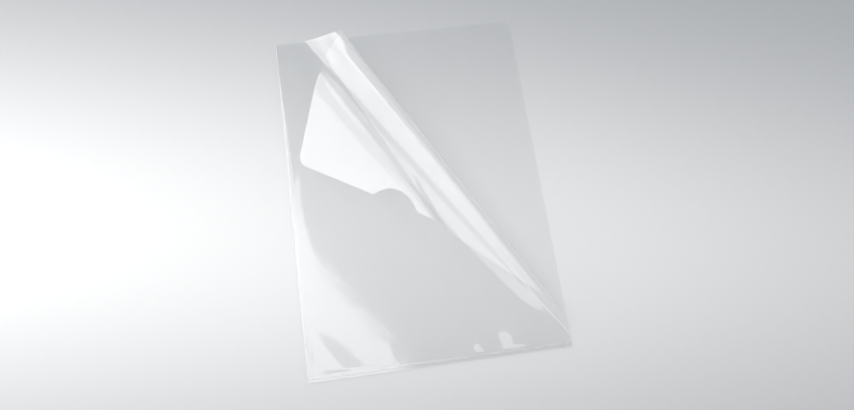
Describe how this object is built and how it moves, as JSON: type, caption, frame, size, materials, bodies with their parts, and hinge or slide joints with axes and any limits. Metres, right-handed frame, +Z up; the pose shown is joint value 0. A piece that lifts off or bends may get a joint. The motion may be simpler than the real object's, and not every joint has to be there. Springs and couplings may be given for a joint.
{
  "type": "clear l-folder",
  "caption": "Clear film document folder, folded on one long side and welded along the bottom, with a thumb notch in the open side and its free corner rolled back.",
  "frame": {"origin": "middle of the underside of the back sheet, which lies on the table", "axes": "+X from the folded edge to the open side, +Y from the welded bottom edge to the open top, +Z up off the table"},
  "size_m": [0.22, 0.31, 0.0533],
  "materials": {
    "clear_film": "clear glossy film with a faint haze",
    "weld": "pressed weld, slightly whitened"
  },
  "bodies": {
    "pocket": {"back_sheet": "clear_film", "spine_fold": "clear_film", "bottom_weld": "weld", "weld_ticks": "weld", "front_panel": "clear_film"},
    "strip_01": {"curl_strip_01": "clear_film"},
    "strip_02": {"curl_strip_02": "clear_film"},
    "strip_03": {"curl_strip_03": "clear_film"},
    "strip_04": {"curl_strip_04": "clear_film"},
    "flap": {"corner_flap": "clear_film"}
  },
  "joints": [
    {"name": "bend_01", "type": "hinge", "parent": "pocket", "child": "strip_01", "pos_m": [0.01525, 0.00575, 0.0007], "axis": [-0.536, 0.8442, 0], "range_deg": [0, 40]},
    {"name": "bend_02", "type": "hinge", "parent": "strip_01", "child": "strip_02", "pos_m": [0.02912, 0.01111, 0.01293], "axis": [-0.4917, 0.8697, 0.0428], "range_deg": [0, 50]},
    {"name": "bend_03", "type": "hinge", "parent": "strip_02", "child": "strip_03", "pos_m": [0.0289, 0.01152, 0.01992], "axis": [-0.4912, 0.8688, 0.063], "range_deg": [0, 50]},
    {"name": "bend_04", "type": "hinge", "parent": "strip_03", "child": "strip_04", "pos_m": [-0.02121, 0.03547, 0.04961], "axis": [-0.3848, 0.9222, -0.0376], "range_deg": [0, 40]},
    {"name": "bend_05", "type": "hinge", "parent": "strip_04", "child": "flap", "pos_m": [-0.03472, 0.02317, 0.04989], "axis": [-0.5063, 0.8615, -0.0369], "range_deg": [0, 40]}
  ],
  "couplings": [
    {"joint": "bend_02", "follows": "bend_01", "ratio": 1.25},
    {"joint": "bend_03", "follows": "bend_01", "ratio": 1.25},
    {"joint": "bend_04", "follows": "bend_01", "ratio": 1},
    {"joint": "bend_05", "follows": "bend_01", "ratio": 1}
  ]
}
